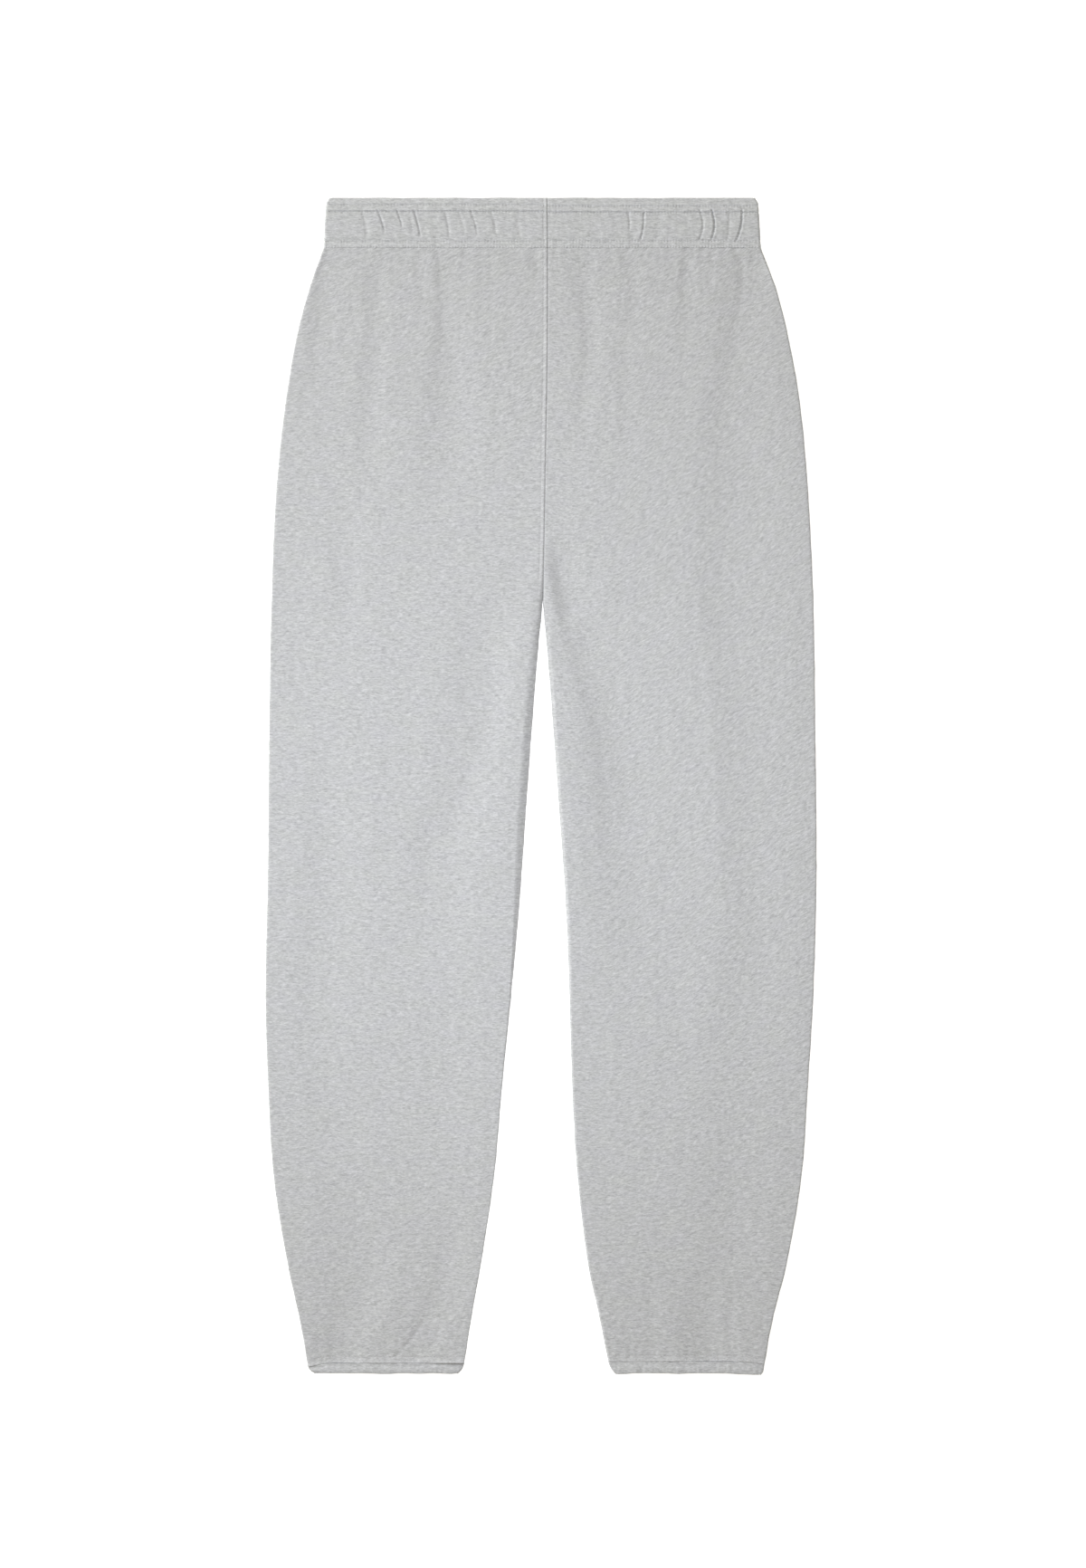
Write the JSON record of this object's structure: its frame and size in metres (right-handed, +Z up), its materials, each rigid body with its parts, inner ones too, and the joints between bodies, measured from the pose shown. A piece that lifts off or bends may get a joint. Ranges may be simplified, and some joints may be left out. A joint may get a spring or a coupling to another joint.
{
  "type": "jogger sweatpants",
  "caption": "Loose brushed-fleece joggers laid flat, back upwards, with a gathered elastic waistband, a centre back seam and narrow elastic hems.",
  "frame": {"origin": "on the surface that the garment lies on, below the middle of its box", "axes": "+Z up out of the cloth, from the front that lies on the surface to the back that shows; +Y along the legs from the hems to the waist; +X to the right as seen from above"},
  "size_m": [0.488, 1.04, 0.0088],
  "materials": {
    "fleece": "light heather grey brushed-back fleece, matt with a soft bloom",
    "casing": "the same heather grey fleece, doubled round an elastic and coverstitched"
  },
  "bodies": {
    "root": {"back_left_leg": "fleece", "back_right_leg": "fleece", "front_left_leg": "fleece", "front_right_leg": "fleece", "waistband_left": "casing", "waistband_right": "casing", "hem_left": "casing", "hem_right": "casing"}
  },
  "joints": []
}
